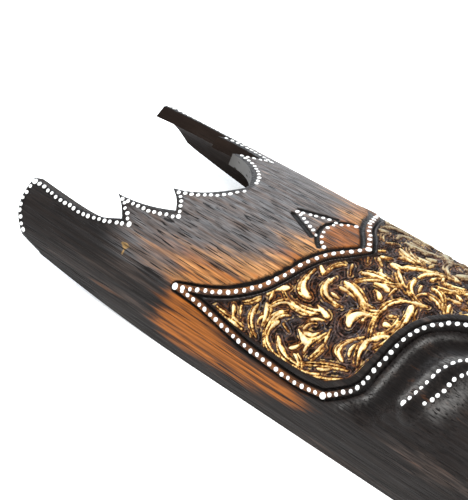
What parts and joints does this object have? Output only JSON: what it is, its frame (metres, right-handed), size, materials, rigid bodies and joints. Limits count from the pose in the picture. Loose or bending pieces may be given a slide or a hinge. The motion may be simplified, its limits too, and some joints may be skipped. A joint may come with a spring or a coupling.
{
  "type": "wooden wall mask",
  "caption": "Long carved wooden face mask, hollow behind, with a jagged crown between two side prongs and a scroll-carved forehead panel",
  "frame": {"origin": "centre of the rim plane, under the middle of the mask", "axes": "+Y along the mask to the crown, +Z out of the face, X across"},
  "size_m": [0.16, 0.4986, 0.0952],
  "materials": {
    "stained_wood": "dark stain, burnt and waxed to a satin sheen, with pale painted carving and white dots"
  },
  "bodies": {
    "root": {"mask": "stained_wood"}
  },
  "joints": []
}
